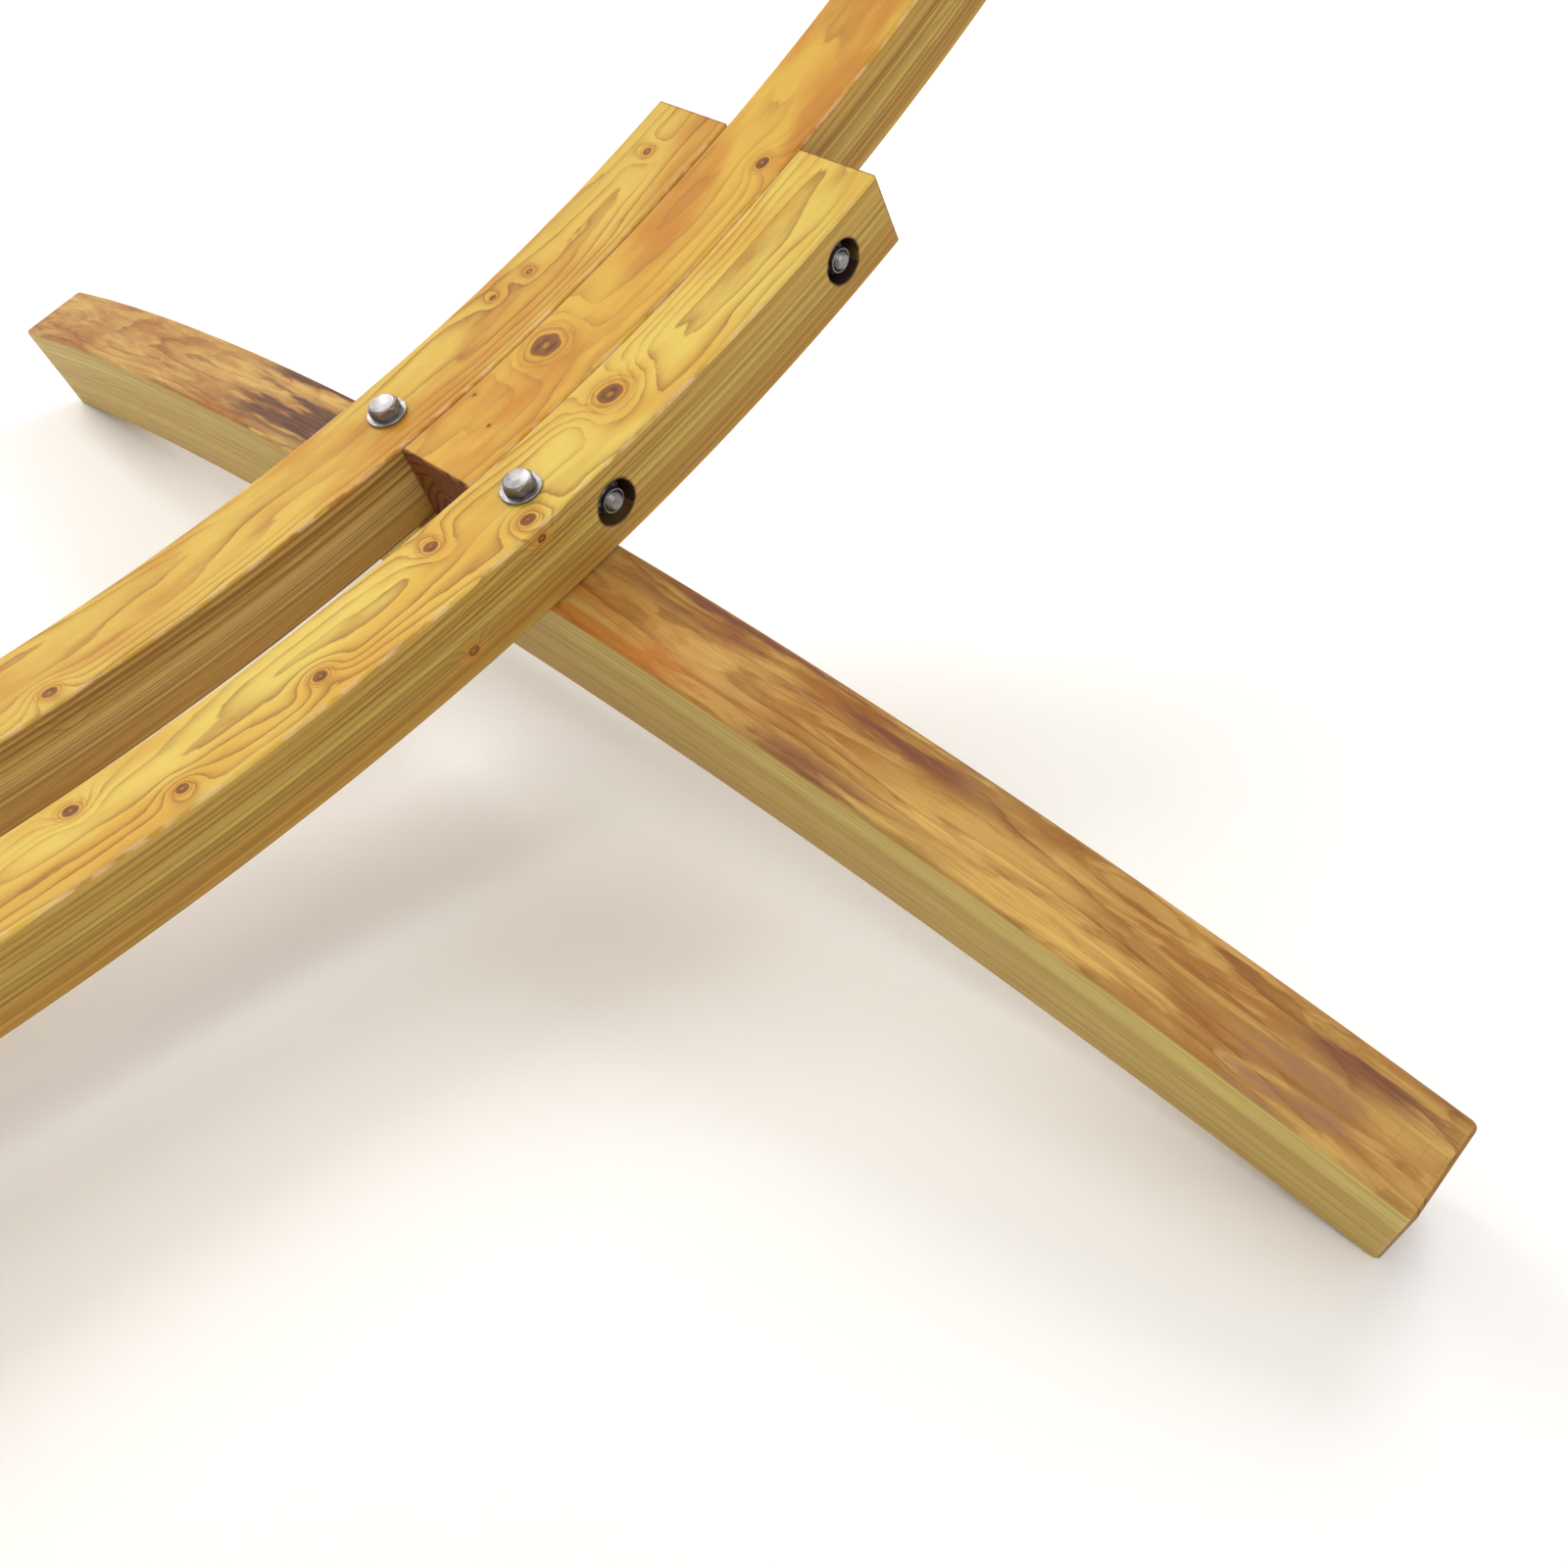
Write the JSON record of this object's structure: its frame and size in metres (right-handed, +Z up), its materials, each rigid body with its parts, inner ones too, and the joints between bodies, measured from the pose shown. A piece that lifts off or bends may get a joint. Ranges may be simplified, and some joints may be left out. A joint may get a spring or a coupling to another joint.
{
  "type": "hammock on stand",
  "caption": "Arched hammock stand of laminated wood: curved rails on arched cross feet, curved arms bolted between them, and a spreader-bar hammock hung from eye bolts.",
  "frame": {"origin": "on the ground, under the middle of the stand", "axes": "+X along the stand towards the right-hand arm, +Y across it towards the far rail, +Z up"},
  "size_m": [2.9114, 1.2, 1.0714],
  "materials": {
    "rail_wood": "oiled laminated softwood, planed, rounded arrises",
    "arm_wood": "oiled laminated softwood, planed, rounded arrises",
    "foot_wood": "oiled laminated softwood, planed, weathered streaks",
    "stainless": "plain stainless, satin",
    "webbing": "flat woven webbing",
    "bar_wood": "turned hardwood, oiled",
    "canvas": "plain woven cotton canvas, matt"
  },
  "bodies": {
    "stand": {"near_rail": "rail_wood", "far_rail": "rail_wood", "left_arm": "arm_wood", "right_arm": "arm_wood", "left_foot": "foot_wood", "right_foot": "foot_wood", "foot_bolts": "stainless", "foot_head_washers": "stainless", "foot_nut_washers": "stainless", "foot_nuts": "stainless", "arm_bolts": "stainless", "arm_head_washers": "stainless", "arm_nut_washers": "stainless", "arm_locknuts": "stainless", "eye_bolts": "stainless", "eye_washers": "stainless", "eye_nuts": "stainless"},
    "hammock": {"left_carabiner": "stainless", "right_carabiner": "stainless", "left_gate_pin": "stainless", "right_gate_pin": "stainless", "left_ring": "stainless", "right_ring": "stainless", "left_straps": "webbing", "right_straps": "webbing", "left_spreader_bar": "bar_wood", "right_spreader_bar": "bar_wood", "hammock_bed": "canvas"},
    "left_gate": {"left_gate": "stainless"},
    "right_gate": {"right_gate": "stainless"}
  },
  "joints": [
    {"name": "hammock_swing", "type": "hinge", "parent": "stand", "child": "hammock", "pos_m": [0, 0, 1.0418], "axis": [1, 0, 0], "range_deg": [-25, 25]},
    {"name": "right_gate_hinge", "type": "hinge", "parent": "hammock", "child": "right_gate", "pos_m": [1.2939, 0, 1.0367], "axis": [0, 1, 0], "range_deg": [0, 25], "stiffness_Nm_per_rad": 0.05, "springref_deg": -11.46},
    {"name": "left_gate_hinge", "type": "hinge", "parent": "hammock", "child": "left_gate", "pos_m": [-1.2939, 0, 1.0367], "axis": [0, -1, 0], "range_deg": [0, 25], "stiffness_Nm_per_rad": 0.05, "springref_deg": -11.46}
  ]
}
